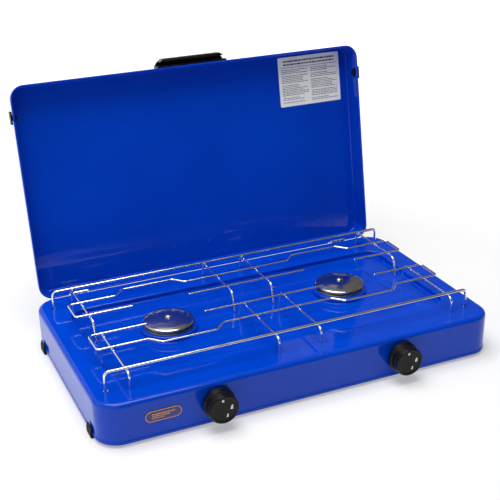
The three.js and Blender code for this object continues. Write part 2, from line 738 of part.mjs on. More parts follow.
// snap pads through the lid's side walls
for (const [side, s] of sides) {
  const z = lidRim + CLIP.z;
  const wallAt = LID_W / 2;
  const wallIn = wallAt - wallSlope * (CLIP.z + CLIP.h / 2) - SHEET - 2 * GAP;
  const pad = box(wallAt + GAP, wallAt + GAP + CLIP.t, clipY - CLIP.l / 2, clipY + CLIP.l / 2, z - CLIP.h / 2, z + CLIP.h / 2);
  const stem = box(wallIn - 1, wallAt + 1, clipY - CLIP.stem / 2, clipY + CLIP.stem / 2, z - 2, z + 2);
  const nubHalf = CLIP.l * 0.36;
  const nub = plate([[wallIn, clipY - nubHalf], [wallIn, clipY + nubHalf], [wallIn - 4.5, clipY]], CLIP.h - 3);
  nub.translate(0, 0, z - CLIP.h / 2 + 1.5);
  const clip = join(pad, stem, nub);
  if (s < 0) clip.rotateZ(Math.PI).translate(0, 2 * clipY, 0);
  add(lid, `lid_clip_${side}`, inLid(clip), black);
}

// grip on the front wall: a hollow bar with chamfered ends, its back follows the sloping wall
const HANDLE = { base: 108, top: 88, out: 12, low: 4, high: 22 };
const lidFront = lidBack - LID_L;
const outline = [
  [-HANDLE.base / 2, lidFront + 10],
  [-HANDLE.base / 2, lidFront - HANDLE.out * 0.35],
  [-HANDLE.top / 2, lidFront - HANDLE.out],
  [HANDLE.top / 2, lidFront - HANDLE.out],
  [HANDLE.base / 2, lidFront - HANDLE.out * 0.35],
  [HANDLE.base / 2, lidFront + 10],
];
const gripPlan = plate(outline, LID_H).translate(0, 0, lidRim);
const backLow = lidFront - GAP + wallSlope * HANDLE.low;
const backHigh = lidFront - GAP + wallSlope * HANDLE.high - 0.1;
const gripSection = [
  [lidFront - HANDLE.out, lidRim + HANDLE.low + 2],
  [lidFront - HANDLE.out + 2, lidRim + HANDLE.low],
  [lidFront - HANDLE.out + 4.5, lidRim + HANDLE.low],
  [lidFront - HANDLE.out + 4.5, lidRim + HANDLE.high - 3.5],
  [backLow - 2.6, lidRim + HANDLE.high - 3.5],
  [backLow - 2.6, lidRim + HANDLE.low],
  [backLow - 0.1, lidRim + HANDLE.low],
  [backHigh, lidRim + HANDLE.high],
  [lidFront - HANDLE.out + 2.5, lidRim + HANDLE.high],
  [lidFront - HANDLE.out, lidRim + HANDLE.high - 2.5],
];
const gripBar = alongX(plate(gripSection, HANDLE.base)).translate(-HANDLE.base / 2, 0, 0);
const grip = geometryOf(solid(gripPlan).intersect(solid(gripBar)));
add(lid, 'lid_handle', inLid(grip), black);

// printed label on the inside of the lid
const LABEL = { x0: 147, x1: 252, from: 221, to: 296, t: 0.5 };
const labelTop = lidRim + LID_H - SHEET - GAP;
const label = box(LABEL.x0, LABEL.x1, lidBack - LABEL.to, lidBack - LABEL.from, labelTop - LABEL.t, labelTop);
add(lid, 'label_plate', inLid(label), paper);

// ---------------------------------------------------------------- origin: middle of the whole object's box, on the table
stove.updateMatrixWorld(true);
const extent = new THREE.Box3().setFromObject(stove, true);
const middle = extent.getCenter(new THREE.Vector3());
const part = new THREE.Group();
stove.position.set(-middle.x, -middle.y, -extent.min.z);
part.add(stove);

export default part;
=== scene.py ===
import json
import math
import random

import bmesh
import bpy
from mathutils import Matrix, Vector, geometry


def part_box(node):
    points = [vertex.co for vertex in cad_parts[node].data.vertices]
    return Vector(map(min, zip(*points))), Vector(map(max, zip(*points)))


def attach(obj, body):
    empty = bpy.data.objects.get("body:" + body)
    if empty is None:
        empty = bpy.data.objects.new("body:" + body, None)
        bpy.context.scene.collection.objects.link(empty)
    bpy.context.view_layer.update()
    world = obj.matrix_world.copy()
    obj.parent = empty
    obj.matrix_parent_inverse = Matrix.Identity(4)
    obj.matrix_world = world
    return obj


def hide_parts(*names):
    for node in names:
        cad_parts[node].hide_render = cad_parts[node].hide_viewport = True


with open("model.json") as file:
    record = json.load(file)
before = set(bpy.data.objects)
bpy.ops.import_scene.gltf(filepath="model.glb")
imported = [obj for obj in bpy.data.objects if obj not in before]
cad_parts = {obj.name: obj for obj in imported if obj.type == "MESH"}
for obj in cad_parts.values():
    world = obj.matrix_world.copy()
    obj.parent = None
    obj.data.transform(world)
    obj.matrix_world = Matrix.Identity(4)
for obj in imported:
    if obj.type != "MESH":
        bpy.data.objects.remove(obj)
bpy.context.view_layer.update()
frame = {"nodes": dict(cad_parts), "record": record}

MM = 0.001
SIDES = (("left", -1), ("right", 1))

# ------------------------------------------------------------------ camera and frame
# millimetres below are in the case's own frame: X = 0 and Y = 0 in the middle of the case
low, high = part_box("body_shell")
CASE_MID_Y = (low.y + high.y) / 2 / MM


def row(p):
    """A point in the case's frame, in millimetres, as a row frame point in metres."""
    return Vector((p[0] * MM, (p[1] + CASE_MID_Y) * MM, p[2] * MM))


def aim_camera():
    azimuth, elevation, roll = (math.radians(a) for a in (-23.57, 25.74, -1.144))
    distance = 1433.7
    target = Vector((-13.3, 25.1, 84.8))
    level = math.cos(elevation)
    back = Vector((math.sin(azimuth) * level, -math.cos(azimuth) * level, math.sin(elevation)))
    across = Vector((math.cos(azimuth), math.sin(azimuth), 0))
    upward = back.cross(across)
    right = across * math.cos(roll) + upward * math.sin(roll)
    up = upward * math.cos(roll) - across * math.sin(roll)
    data = bpy.data.cameras.new("camera")
    data.sensor_width = 36
    data.lens = 73.6
    data.shift_x = 0.0138
    data.shift_y = 0.0727
    camera = bpy.data.objects.new("camera", data)
    bpy.context.scene.collection.objects.link(camera)
    turn = Matrix((right, up, back)).transposed().to_4x4()
    camera.matrix_world = Matrix.Translation(row(target + back * distance)) @ turn
    bpy.context.scene.camera = camera


aim_camera()

# ------------------------------------------------------------------ dimensions, as in the CAD
SHEET = 1
CASE = {"hx": 282.5, "hy": 160, "cy": 0, "r": 32}
CASE_TOP = 60
HEM_OUT = 0.8
FOLD = 6
RECESS = {"hx": 248, "hy": 104, "cy": 4, "r": 24}
FLOOR_Z = 52
LIP = 3
BURNER_X = 131.7
BURNER_Y = 9
BOSS_R = 39
BOSS_HOLE_R = 31.5
CAP_R = 35
RING_R = 30.5
RING_BASE = 61.6
CAP_BASE = 66.5
CUP_R = 30
CUP_BOTTOM = 22
CUP_FLANGE_Z = 60.3
PORTS = 18
KNOB_Z = 33.4
WALL_Y = 159.2
KNOB_BACK = -163.6
KNOB_L = 20
KNOB_R = 19.6
SKIRT_R = 21.3
TAP_FRONT = -154.7
SPINDLE_RING = -159.4
PIPE_Z = 18.9
INLET_X = 215
RAIL_R = 2
WIRE_R = 1.6
RAIL_Z = 84
CROSS_Z = 80.1
WIRE_Z = 83.6
RAIL_HALF = 260
RAIL_Y = {"rear": 126, "front": -118}
WIRE_NEAR = 29          # from the burners' line to the wires nearest to it
WIRE_FAR = 69           # and to the runs farthest from it
LOOP_X = RAIL_HALF - 9
CROSS_END = RAIL_HALF - 28.5
CROSS_INNER = 30.2
CROSS_X = (-CROSS_END, -CROSS_INNER, CROSS_INNER, CROSS_END)
LID = {"hx": 270, "hy": 152.5, "cy": 12.5, "r": 20}
LID_RIM = 61
LID_H = 29.9
LID_FOLD = 3
LID_DRAFT = 3.5
LID_LEAN = LID_DRAFT / 27
CLIP_Y = -97
LID_BACK = 165
LID_FRONT = -140
HINGE = Vector((0, 162.5, 58.5))
HINGE_X = 213
HINGE_NOTCH = 15
LID_OPEN = -100.2
# the lid's pieces are drawn shut, and this opens them
LID_TURN = (
    Matrix.Translation(HINGE) @ Matrix.Rotation(math.radians(LID_OPEN), 4, "X") @ Matrix.Translation(-HINGE)
)


# ------------------------------------------------------------------ node materials
def new_material(name):
    m = bpy.data.materials.new(name)
    m.use_nodes = True
    tree = m.node_tree
    return m, tree, tree.nodes["Principled BSDF"]


def node(tree, kind, **values):
    n = tree.nodes.new(kind)
    for key, value in values.items():
        if key in n.inputs:
            n.inputs[key].default_value = value
        else:
            setattr(n, key, value)
    return n


def noise(tree, scale, detail=2.0, stretch=(1, 1, 1)):
    place = node(tree, "ShaderNodeTexCoord")
    size = node(tree, "ShaderNodeMapping", Scale=stretch)
    n = node(tree, "ShaderNodeTexNoise", Scale=scale, Detail=detail)
    tree.links.new(place.outputs["Object"], size.inputs["Vector"])
    tree.links.new(size.outputs["Vector"], n.inputs["Vector"])
    return n.outputs["Fac"]


def ramp(tree, source, stops):
    n = node(tree, "ShaderNodeValToRGB")
    while len(n.color_ramp.elements) < len(stops):
        n.color_ramp.elements.new(0.5)
    for element, (at, colour) in zip(n.color_ramp.elements, stops):
        element.position = at
        element.color = (*colour, 1)
    tree.links.new(source, n.inputs["Fac"])
    return n.outputs["Color"]


def grey_ramp(tree, source, a, b):
    return ramp(tree, source, [(0.3, (a, a, a)), (0.7, (b, b, b))])


def bumped(tree, shader, layers):
    """layers: (height source, strength, distance in metres), coarse first."""
    last = None
    for source, strength, distance in layers:
        b = node(tree, "ShaderNodeBump", Strength=strength, Distance=distance)
        tree.links.new(source, b.inputs["Height"])
        if last:
            tree.links.new(last.outputs["Normal"], b.inputs["Normal"])
        last = b
    tree.links.new(last.outputs["Normal"], shader.inputs["Normal"])


def enamel():
    """Glossy fired enamel on pressed sheet: slow waves of the sheet, fine orange peel, faint wipe marks."""
    m, t, s = new_material("blue_enamel")
    colour = ramp(t, noise(t, 7, 3), [(0.25, (0.0, 0.046, 0.50)), (0.75, (0.0, 0.060, 0.60))])
    t.links.new(colour, s.inputs["Base Color"])
    t.links.new(grey_ramp(t, noise(t, 30, 4), 0.04, 0.09), s.inputs["Roughness"])
    s.inputs["Specular IOR Level"].default_value = 0.28
    bumped(t, s, [
        (noise(t, 9, 1), 0.35, 0.0009),
        (noise(t, 420, 1), 0.05, 0.0002),
    ])
    return m


def metal(name, colour, dark, rough, scale, stretch, strength, coarse=None):
    m, t, s = new_material(name)
    grain = noise(t, scale, 3, stretch)
    t.links.new(ramp(t, grain, [(0.3, dark), (0.7, colour)]), s.inputs["Base Color"])
    t.links.new(grey_ramp(t, noise(t, scale * 0.6, 4, stretch), *rough), s.inputs["Roughness"])
    s.inputs["Metallic"].default_value = 1.0
    layers = [(grain, strength, 0.0002)]
    if coarse:
        layers.insert(0, (noise(t, coarse, 1), 0.3, 0.0006))
    bumped(t, s, layers)
    return m


def plastic(name, colour, rough, strength, scale):
    m, t, s = new_material(name)
    s.inputs["Specular IOR Level"].default_value = 0.2
    lighter = tuple(c * 1.35 + 0.0008 for c in colour)
    t.links.new(ramp(t, noise(t, 40, 4), [(0.3, colour), (0.75, lighter)]), s.inputs["Base Color"])
    t.links.new(grey_ramp(t, noise(t, 90, 4), *rough), s.inputs["Roughness"])
    bumped(t, s, [(noise(t, scale, 2), strength, 0.00015)])
    return m


def plain(name, colour, rough, metallic=0.0):
    m, t, s = new_material(name)
    other = tuple(min(1, c * 1.12) for c in colour)
    t.links.new(ramp(t, noise(t, 60, 3), [(0.3, colour), (0.7, other)]), s.inputs["Base Color"])
    t.links.new(grey_ramp(t, noise(t, 120, 3), *rough), s.inputs["Roughness"])
    s.inputs["Metallic"].default_value = metallic
    bumped(t, s, [(noise(t, 900, 2), 0.08, 0.0001)])
    return m


EVEN = (1, 1, 1)
BLUE = enamel()
CHROME = metal("chromed_wire", (0.96, 0.96, 0.97), (0.88, 0.88, 0.90), (0.12, 0.22), 60, EVEN, 0.05)
POLISHED = metal("polished_steel", (0.66, 0.63, 0.58), (0.54, 0.52, 0.48), (0.13, 0.22), 30, EVEN, 0.05, 28)
STEEL = metal("plain_steel", (0.50, 0.50, 0.50), (0.36, 0.36, 0.36), (0.28, 0.42), 50, (1, 6, 1), 0.15)
BRASS = metal("brass", (0.66, 0.47, 0.18), (0.52, 0.36, 0.13), (0.25, 0.40), 60, EVEN, 0.1)
BLACK = plastic("black_plastic", (0.004, 0.004, 0.004), (0.20, 0.30), 0.2, 700)
RUBBER = plastic("black_rubber", (0.007, 0.007, 0.007), (0.55, 0.75), 0.4, 500)
PAPER = plain("label", (0.89, 0.89, 0.86), (0.45, 0.60))
INK = plain("label_ink", (0.035, 0.035, 0.04), (0.5, 0.6))
MARK = plain("knob_marks", (0.72, 0.74, 0.70), (0.4, 0.5))
GOLD = plain("badge", (0.62, 0.25, 0.06), (0.22, 0.32), 0.35)
NIGHT = plain("badge_ground", (0.015, 0.04, 0.20), (0.12, 0.2))

# CAD nodes that stay on show take the same finishes
SLOT_MATERIAL = {
    "blue_enamel": BLUE, "chromed_wire": CHROME, "polished_steel": POLISHED, "plain_steel": STEEL,
    "brass": BRASS, "black_plastic": BLACK, "black_rubber": RUBBER, "label": PAPER, "badge": GOLD,
}


# ------------------------------------------------------------------ mesh helpers
def arc(cx, cy, r, a0, a1, n):
    turns = [math.radians(a0 + (a1 - a0) * i / n) for i in range(n + 1)]
    return [(cx + r * math.cos(a), cy + r * math.sin(a)) for a in turns]


def softened(profile, r, n=3):
    """The polygon with each corner rounded to radius r, or less where its sides are short."""
    out = []
    for i, p in enumerate(profile):
        a, b, c = Vector(profile[i - 1]), Vector(p), Vector(profile[(i + 1) % len(profile)])
        u, v = (a - b), (c - b)
        if p[0] < 1e-6 or u.length < 1e-6 or v.length < 1e-6:
            out.append(p)
            continue
        reach = min(r, u.length * 0.45, v.length * 0.45)
        if (u.normalized() + v.normalized()).length < 0.02:
            out.append(p)
            continue
        p0, p1 = b + u.normalized() * reach, b + v.normalized() * reach
        for k in range(n + 1):
            w = k / n
            q = p0 * (1 - w) ** 2 + b * 2 * w * (1 - w) + p1 * w ** 2
            out.append((q.x, q.y))
    return out


def plan_ring(shape, inset, n=12):
    """A rounded rectangle's points, anticlockwise from the right side, in by inset."""
    hx, hy, r = shape["hx"] - inset, shape["hy"] - inset, max(shape["r"] - inset, 0.6)
    points = []
    for sx, sy, a0 in ((1, 1, 0), (-1, 1, 90), (-1, -1, 180), (1, -1, 270)):
        for x, y in arc(sx * (hx - r), shape["cy"] + sy * (hy - r), r, a0, a0 + 90, n):
            points.append((x, y))
    return points


def circle(cx, cy, r, n):
    turns = [2 * math.pi * i / n for i in range(n)]
    return [(cx + r * math.cos(a), cy + r * math.sin(a)) for a in turns]


class Sheet:
    """Vertices and faces of one surface, in millimetres."""

    def __init__(self):
        self.verts = []
        self.faces = []

    def ring(self, points, z):
        start = len(self.verts)
        self.verts += [(x, y, z) for x, y in points]
        return list(range(start, len(self.verts)))

    def bridge(self, a, b):
        for i in range(len(a)):
            j = (i + 1) % len(a)
            self.faces.append((a[i], a[j], b[j], b[i]))

    def rings(self, shape, line):
        """One ring for each (inset, z) of line, bridged. Gives the first and the last."""
        loops = [self.ring(plan_ring(shape, inset), z) for inset, z in line]
        for a, b in zip(loops, loops[1:]):
            self.bridge(a, b)
        return loops[0], loops[-1]

    def round_rings(self, cx, cy, line, n):
        loops = [self.ring(circle(cx, cy, r, n), z) for r, z in line]
        for a, b in zip(loops, loops[1:]):
            self.bridge(a, b)
        return loops[0], loops[-1]

    def fill(self, outer, holes):
        """Flat triangles between the outer loop and the holes' loops, facing up."""
        loops = [outer, *holes]
        flat, edges, index = [], [], []
        for loop in loops:
            start = len(flat)
            flat += [Vector(self.verts[i][:2]) for i in loop]
            index += loop
            edges += [(start + i, start + (i + 1) % len(loop)) for i in range(len(loop))]
        result = geometry.delaunay_2d_cdt(flat, edges, [], 0, 1e-6)
        places, tris, origins = result[0], result[2], result[3]
        polygons = [[self.verts[i][:2] for i in loop] for loop in loops]
        for tri in tris:
            mid = sum((places[i] for i in tri), Vector((0, 0))) / 3
            if inside(mid, polygons[0]) and not any(inside(mid, q) for q in polygons[1:]):
                ids = [index[origins[i][0]] for i in tri]
                a, b, c = (places[i] for i in tri)
                if (b - a).cross(c - a) < 0:
                    ids.reverse()
                self.faces.append(tuple(ids))


def inside(p, polygon):
    hit = False
    for (x0, y0), (x1, y1) in zip(polygon, polygon[1:] + polygon[:1]):
        if (y0 > p.y) != (y1 > p.y) and p.x < (x1 - x0) * (p.y - y0) / (y1 - y0) + x0:
            hit = not hit
    return hit


def to_mesh(name, verts, faces):
    mesh = bpy.data.meshes.new(name)
    mesh.from_pydata(verts, [], faces)
    bm = bmesh.new()
    bm.from_mesh(mesh)
    bmesh.ops.remove_doubles(bm, verts=bm.verts, dist=1e-5)
    bmesh.ops.recalc_face_normals(bm, faces=bm.faces)
    bm.to_mesh(mesh)
    bm.free()
    mesh.validate()
    return mesh


def turned(profile, n, axis="Z"):
    """A closed (radius, height) polygon turned about an axis, as verts and faces."""
    verts, faces = [], []
    rows = []
    for r, h in profile:
        if r < 1e-6:
            rows.append([len(verts)])
            verts.append((0, 0, h))
            continue
        rows.append(list(range(len(verts), len(verts) + n)))
        verts += [(x, y, h) for x, y in circle(0, 0, r, n)]
    for a, b in zip(rows, rows[1:] + rows[:1]):
        if len(a) == 1 and len(b) == 1:
            continue
        for i in range(n):
            j = (i + 1) % n
            if len(a) == 1:
                faces.append((a[0], b[j], b[i]))
            elif len(b) == 1:
                faces.append((a[i], a[j], b[0]))
            else:
                faces.append((a[i], a[j], b[j], b[i]))
    if axis == "Y":
        verts = [(x, h, -y) for x, y, h in verts]
    return verts, faces


def moved(part, x=0, y=0, z=0):
    verts, faces = part
    return [(a + x, b + y, c + z) for a, b, c in verts], faces


def joined(*parts):
    verts, faces = [], []
    for v, f in parts:
        start = len(verts)
        verts += v
        faces += [tuple(i + start for i in q) for q in f]
    return verts, faces


def prism(outline, z0, z1):
    """A polygon (x, y) drawn up from z0 to z1."""
    n = len(outline)
    verts = [(x, y, z0) for x, y in outline] + [(x, y, z1) for x, y in outline]
    faces = [tuple(range(n))[::-1], tuple(range(n, 2 * n))]
    faces += [(i, (i + 1) % n, n + (i + 1) % n, n + i) for i in range(n)]
    return verts, faces


def block(x0, x1, y0, y1, z0, z1):
    return prism([(x0, y0), (x1, y0), (x1, y1), (x0, y1)], z0, z1)


def drill(r, n, x, y, z):
    """A cylinder along Y, 16 mm long, to cut a round hole with."""
    return moved(turned([(0, -8), (r, -8), (r, 8), (0, 8)], n, "Y"), x, y, z)


def along_y(part):
    """A prism drawn in (x, z) and up: its height becomes Y."""
    verts, faces = part
    return [(x, z, y) for x, y, z in verts], faces


def filleted(points, r, n=8):
    """A polyline of 3-D points with its corners bent to radius r."""
    points = [Vector(p) for p in points]
    out = [points[0]]
    for a, b, c in zip(points, points[1:], points[2:]):
        u, v = (a - b).normalized(), (c - b).normalized()
        half = u.angle(v) / 2
        reach = min(r / math.tan(half), (a - b).length * 0.49, (c - b).length * 0.49)
        radius = reach * math.tan(half)
        centre = b + (u + v).normalized() * (radius / math.sin(half))
        p0, p1 = b + u * reach - centre, b + v * reach - centre
        sweep = p0.angle(p1)
        for k in range(n + 1):
            w = k / n
            q = (p0 * math.sin((1 - w) * sweep) + p1 * math.sin(w * sweep)) / math.sin(sweep)
            out.append(centre + q)
    out.append(points[-1])
    return out


def wire(points, radius, bend, n=20, corner=8):
    """A round wire along a bent polyline, its ends sheared off with a small radius."""
    path = filleted(points, bend, corner) if len(points) > 2 else [Vector(p) for p in points]
    spine, scale = [], []
    first, last = (path[0] - path[1]).normalized(), (path[-1] - path[-2]).normalized()
    lip = 0.35
    for back, s in ((0.0, 1 - lip), (lip * 0.3, 1 - lip * 0.3), (lip, 1)):
        spine.append(path[0] - first * back * radius)
        scale.append(s)
    spine += path[1:-1]
    scale += [1] * (len(path) - 2)
    for back, s in ((lip, 1), (lip * 0.3, 1 - lip * 0.3), (0.0, 1 - lip)):
        spine.append(path[-1] - last * back * radius)
        scale.append(s)
    verts, faces, side = [], [], None
    for i, p in enumerate(spine):
        before = spine[i] - spine[i - 1] if i else spine[1] - spine[0]
        after = spine[i + 1] - spine[i] if i + 1 < len(spine) else before
        way = (before.normalized() + after.normalized()).normalized()
        if side is None:
            side = way.orthogonal().normalized()
        side = (side - way * side.dot(way)).normalized()
        other = way.cross(side)
        for k in range(n):
            a = 2 * math.pi * k / n
            verts.append(p + (side * math.cos(a) + other * math.sin(a)) * radius * scale[i])
    for i in range(len(spine) - 1):
        for k in range(n):
            j = (k + 1) % n
            faces.append((i * n + k, i * n + j, (i + 1) * n + j, (i + 1) * n + k))
    end = (len(spine) - 1) * n
    verts += [spine[0], spine[-1]]
    for k in range(n):
        j = (k + 1) % n
        faces.append((len(verts) - 2, j, k))
        faces.append((len(verts) - 1, end + k, end + j))
    return [tuple(v) for v in verts], faces


def new_object(name, part, lid):
    """An object from verts and faces in case millimetres."""
    mesh = to_mesh(name, *part)
    if lid:
        mesh.transform(LID_TURN)
    mesh.transform(Matrix.Scale(MM, 4) @ Matrix.Translation((0, CASE_MID_Y, 0)))
    mesh.update()
    obj = bpy.data.objects.new(name, mesh)
    bpy.context.scene.collection.objects.link(obj)
    return obj


def bake_modifiers(obj):
    bpy.context.view_layer.update()
    dg = bpy.context.evaluated_depsgraph_get()
    made = bpy.data.meshes.new_from_object(obj.evaluated_get(dg))
    obj.modifiers.clear()
    obj.data = made


def place(name, part, material, body, slot, stands_for=None,
          lid=False, bevel=0, sheet=0, cuts=None, sharp=35):
    obj = new_object(name, part, lid)
    obj.data.materials.append(material)
    if sheet:
        mod = obj.modifiers.new("thickness", "SOLIDIFY")
        mod.thickness = sheet * MM
        mod.offset = -1
        mod.use_even_offset = True
    if cuts:
        tool = new_object(name + "_cut", cuts, lid)
        mod = obj.modifiers.new("holes", "BOOLEAN")
        mod.operation = "DIFFERENCE"
        mod.solver = "EXACT"
        mod.use_self = True
        mod.object = tool
        bake_modifiers(obj)
        bpy.data.objects.remove(tool)
    if bevel:
        mod = obj.modifiers.new("edges", "BEVEL")
        mod.width = bevel * MM
        mod.segments = 3
        mod.limit_method = "ANGLE"
        mod.angle_limit = math.radians(32)
        bake_modifiers(obj)
    for p in obj.data.polygons:
        p.use_smooth = True
    obj.data.set_sharp_from_angle(angle=math.radians(sharp))
    mod = obj.modifiers.new("normals", "WEIGHTED_NORMAL")
    mod.keep_sharp = True
    mod.weight = 60
    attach(obj, body)
    if stands_for:
        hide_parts(stands_for)


# ------------------------------------------------------------------ case
def case_shell():
    s = Sheet()
    hem = [
        (2.35, 9.0), (2.35, 5.2), (2.1, 4.45), (1.6, 4.05), (0.75, 4.0), (0.25, 4.3), (0.0, 4.9),
        (0.0, 7.3), (0.12, 7.9), (0.6, 8.5), (HEM_OUT, 9.1), (HEM_OUT, 10.2),
        (HEM_OUT, CASE_TOP - FOLD - 1.2),
    ]
    fold = arc(HEM_OUT + FOLD, CASE_TOP - FOLD, FOLD, 180, 90, 10)
    first, edge = s.rings(CASE, [*hem, *fold, (HEM_OUT + FOLD + 1.5, CASE_TOP)])
    lip = [(-1.5, CASE_TOP), *arc(0, CASE_TOP - LIP, LIP, 90, 0, 7)]
    foot = [*arc(2 * LIP, FLOOR_Z + LIP, LIP, 180, 270, 7), (2 * LIP + 1.5, FLOOR_Z)]
    top, bottom = s.rings(RECESS, [*lip, *foot])
    rail_hole = ((5.2, 0), (4.6, 0.05), (3.9, 0.35), (3.5, 0.9), (3.4, 1.6))
    holes = []
    for sx in (-1, 1):
        for y in RAIL_Y.values():
            rim, _ = s.round_rings(sx * RAIL_HALF, y, [(r, CASE_TOP - drop) for r, drop in rail_hole], 32)
            holes.append(rim)
    s.fill(edge, [top, *holes])
    bosses = []
    for sx in (-1, 1):
        line = [
            (BOSS_R + 4.5, FLOOR_Z),
            *arc(BOSS_R + 1.5, FLOOR_Z + 1.5, 1.5, 270, 180, 5),
            *arc(BOSS_R - 2.5, CASE_TOP - 2.5, 2.5, 0, 90, 7),
            (BOSS_R - 4, CASE_TOP),
            (BOSS_HOLE_R, CASE_TOP),
        ]
        rim, _ = s.round_rings(sx * BURNER_X, BURNER_Y, line, 96)
        bosses.append(rim)
    s.fill(bottom, bosses)
    cuts = [drill(6, 40, sx * BURNER_X, -WALL_Y, KNOB_Z) for _, sx in SIDES]
    cuts.append(drill(6.5, 40, INLET_X, WALL_Y, PIPE_Z))
    place("case", (s.verts, s.faces), BLUE, "stove", "blue_enamel", "body_shell", sheet=SHEET,
          cuts=joined(*cuts))


def feet():
    out, slot_out, slot_in, inner = 285.45, 282.8, 279.3, 271.5
    profile = [
        (inner, 0), (out - 1.5, 0), (out, 1.5), (out, 10), (out - 1.6, 15), (slot_out, 15.5), (slot_out, 3.7),
        (slot_in, 3.7), (slot_in, 12), (inner, 12),
    ]
    half = 9
    for name, y in (("front", -115), ("rear", 115)):
        for side, sx in SIDES:
            part = along_y(prism([(sx * x, z) for x, z in profile], y - half, y + half))
            where = f"{name}_{side}"
            place(f"rubber_foot_{where}", part, RUBBER, "stove", "black_rubber", f"foot_{where}", bevel=0.5)


def badge():
    x, z, w, h, t = -202, 34, 47, 15, 0.7
    face = -WALL_Y - 0.3
    base = {"hx": w / 2, "hy": h / 2, "cy": 0, "r": h / 2 - 0.2}
    ring = plan_ring(base, 0, 10)
    inner = plan_ring(base, 1.0, 10)
    ground = along_y(prism([(x + a, z + b) for a, b in plan_ring(base, 0.4, 10)], face - t + 0.2, face))
    n = len(ring)
    verts, faces = [], []
    for points, y in ((ring, face), (ring, face - t), (inner, face - t), (inner, face)):
        verts += [(x + a, y, z + b) for a, b in points]
    for k in range(4):
        m = (k + 1) % 4
        faces += [(k * n + i, k * n + (i + 1) % n, m * n + (i + 1) % n, m * n + i) for i in range(n)]
    place("badge_ground", ground, NIGHT, "stove", "badge", "badge_plate")
    bars = []
    for right, low_z, high_z in ((15, 1.6, 3.0), (8, -1.0, 0.2), (1, -3.4, -2.4)):
        corners = [(x - 15, z + low_z), (x + right, z + low_z), (x + right, z + high_z), (x - 15, z + high_z)]
        bars.append(along_y(prism(corners, face - t, face - t + 0.3)))
    place("badge_rim", joined((verts, faces), *bars), GOLD, "stove", "badge", bevel=0.12)


# ------------------------------------------------------------------ burners
def burners():
    for side, sx in SIDES:
        x = sx * BURNER_X

        def at(part):
            return moved(part, x, BURNER_Y)

        cup = [
            (3.2, CUP_BOTTOM), (CUP_R - 3, CUP_BOTTOM), (CUP_R, CUP_BOTTOM + 3), (CUP_R, CUP_FLANGE_Z),
            (CUP_R + 4.2, CUP_FLANGE_Z), (CUP_R + 4.2, CUP_FLANGE_Z + 1), (CUP_R - 1.5, CUP_FLANGE_Z + 1),
            (CUP_R - 1.5, CUP_BOTTOM + 3.6), (CUP_R - 3.6, CUP_BOTTOM + 1.5), (3.2, CUP_BOTTOM + 1.5),
        ]
        cup = at(turned(softened(cup, 0.8), 72))
        hole = drill(6.5, 32, x, BURNER_Y - CUP_R, KNOB_Z)
        place(f"cup_{side}", cup, STEEL, "stove", "plain_steel", f"burner_cup_{side}", cuts=hole)

        ring_in = RING_R - 3
        ring_top = CAP_BASE - 0.3
        ring = [(ring_in, RING_BASE), (RING_R, RING_BASE), (RING_R, ring_top), (ring_in, ring_top)]
        slots = []
        for i in range(PORTS):
            a = 2 * math.pi * i / PORTS
            c, s = math.cos(a), math.sin(a)
            verts, faces = block(RING_R - 6, RING_R + 3, -0.9, 0.9, CAP_BASE - 2.9, CAP_BASE + 1)
            slots.append(([(p * c - q * s, p * s + q * c, r) for p, q, r in verts], faces))
        place(f"ported_ring_{side}", at(turned(ring, 72)), STEEL, "stove", "plain_steel",
              f"burner_ring_{side}", cuts=at(joined(*slots)), bevel=0.15)

        crown = [
            (0, CAP_BASE + 5.4), (3.1, CAP_BASE + 5.4), (CAP_R * 0.25, CAP_BASE + 5.15),
            (CAP_R * 0.5, CAP_BASE + 4.6), (CAP_R * 0.8, CAP_BASE + 3.1), (CAP_R - 1.6, CAP_BASE + 1.75),
            (CAP_R - 0.35, CAP_BASE + 0.9), (CAP_R, CAP_BASE + 0.2), (CAP_R - 0.1, CAP_BASE - 0.5),
            (CAP_R - 0.7, CAP_BASE - 0.6),
        ]
        under = [
            (CAP_R - 1.4, CAP_BASE - 0.3), (CAP_R - 2.4, CAP_BASE + 0.5), (CAP_R * 0.8, CAP_BASE + 1.8),
            (CAP_R * 0.5, CAP_BASE + 3.4), (3.1, CAP_BASE + 4.3), (0, CAP_BASE + 4.3),
        ]
        cap = at(turned(softened(crown + under, 1.2, 5), 128))
        place(f"cap_{side}", cap, POLISHED, "stove", "polished_steel", f"burner_cap_{side}", sharp=60)

        head = CAP_BASE + 5.7
        rivet = [
            (0, CUP_BOTTOM - 1.5), (4.6, CUP_BOTTOM - 1.5), (4.6, CUP_BOTTOM - 0.3), (2.7, CUP_BOTTOM - 0.3),
            (2.7, head), (5, head), (4.85, head + 0.7), (4.2, head + 1.35), (2.9, head + 1.95),
            (1.5, head + 2.15), (0, head + 2.2),
        ]
        rivet = at(turned(softened(rivet, 0.25), 40))
        place(f"rivet_{side}", rivet, POLISHED, "stove", "polished_steel", f"burner_rivet_{side}", sharp=50)


# ------------------------------------------------------------------ controls
def teardrop(cx, cz, size, lean):
    """A plain flame outline round (cx, cz)."""
    points = []
    for i in range(28):
        a = 2 * math.pi * i / 28
        r = size * (0.62 + 0.38 * max(0, math.sin(a)) ** 3 * 1.6)
        x, z = r * math.cos(a) * (0.82 - 0.25 * max(0, math.sin(a))), r * math.sin(a)
        points.append((cx + x + lean * max(0, z) * 0.35, cz + z))
    return points


